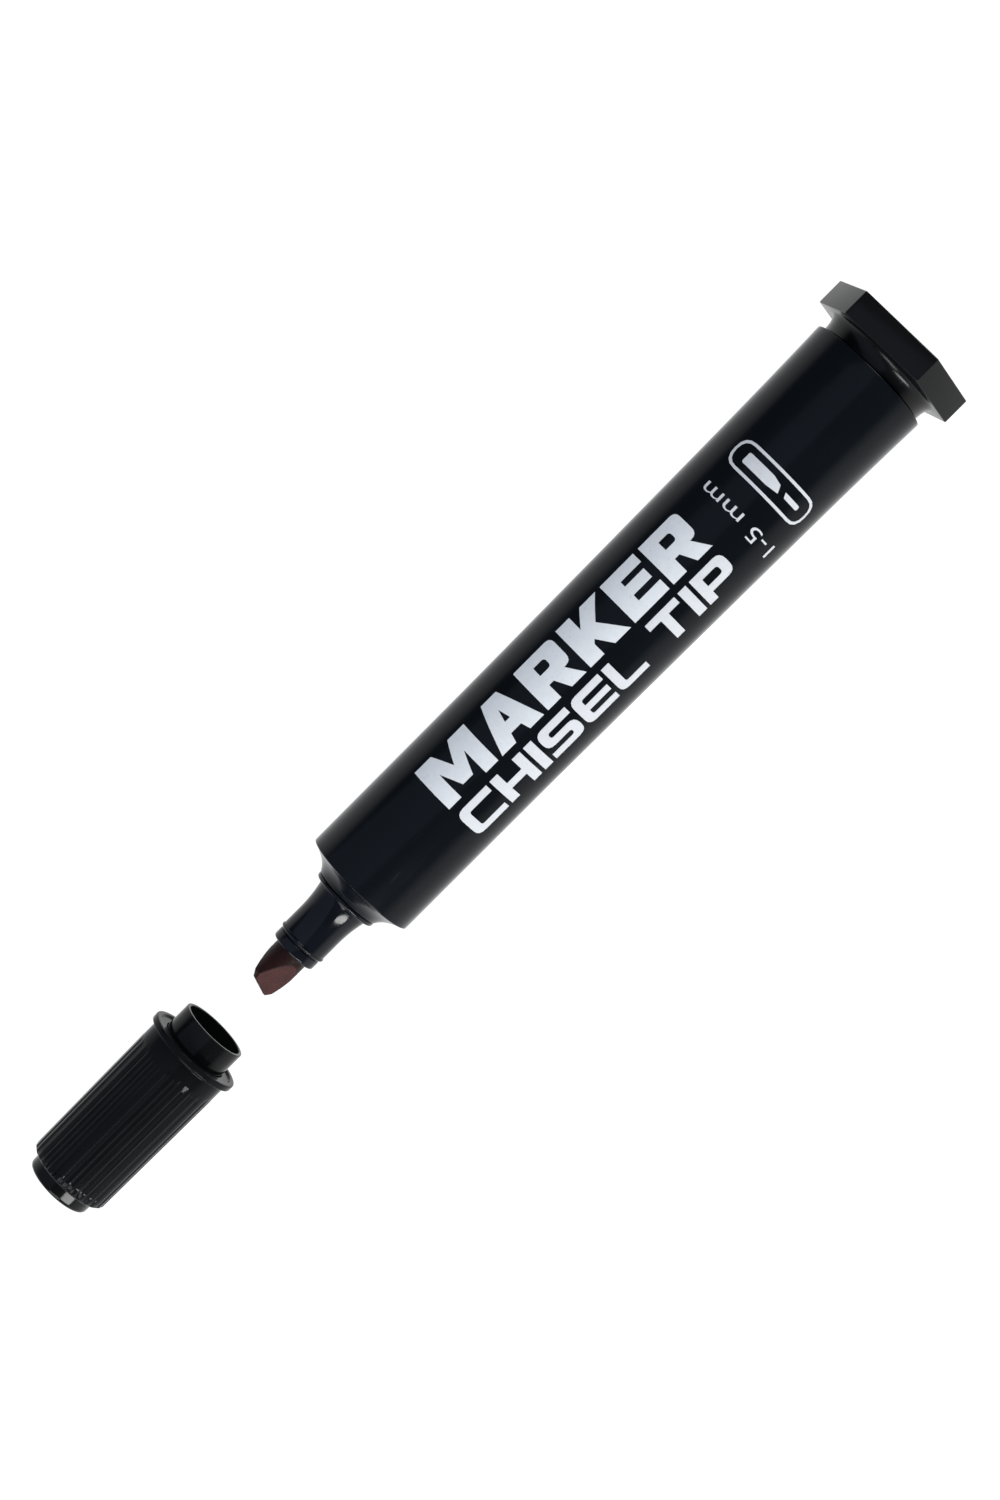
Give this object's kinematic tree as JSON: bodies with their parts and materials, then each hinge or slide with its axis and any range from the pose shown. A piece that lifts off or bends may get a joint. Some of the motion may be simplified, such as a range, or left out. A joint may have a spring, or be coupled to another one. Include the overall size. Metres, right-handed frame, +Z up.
{
  "type": "felt tip marker",
  "caption": "Chisel-nib felt marker with a flared barrel, a hexagonal end plug and a ribbed pull-off cap, shown with the cap off.",
  "frame": {"origin": "under the middle of the whole length, on the surface that the marker lies on, with the cap pulled off", "axes": "+X along the marker from the nib to the end plug, +Z up out of the plug's upper flat"},
  "size_m": [0.155, 0.0226, 0.0188],
  "materials": {
    "barrel_plastic": "moulded black polypropylene with a soft gloss",
    "nozzle_plastic": "moulded black polypropylene, glossier than the barrel",
    "nib_felt": "pressed polyester felt soaked with dark ink",
    "reservoir_fibre": "bundled fibre soaked with ink",
    "clear_film": "thin clear film",
    "plug_plastic": "moulded black plastic, satin faces",
    "cap_plastic": "moulded black plastic with fine ribs",
    "liner_plastic": "moulded black polyethylene, satin"
  },
  "bodies": {
    "marker_body": {"barrel": "barrel_plastic", "nozzle": "nozzle_plastic", "nib": "nib_felt", "ink_reservoir": "reservoir_fibre", "reservoir_film": "clear_film", "end_plug": "plug_plastic"},
    "cap": {"cap_shell": "cap_plastic", "cap_liner": "liner_plastic"}
  },
  "joints": [
    {"name": "cap_slide", "type": "slide", "parent": "marker_body", "child": "cap", "axis": [1, 0, 0], "range_m": [0, 0.0239]}
  ]
}
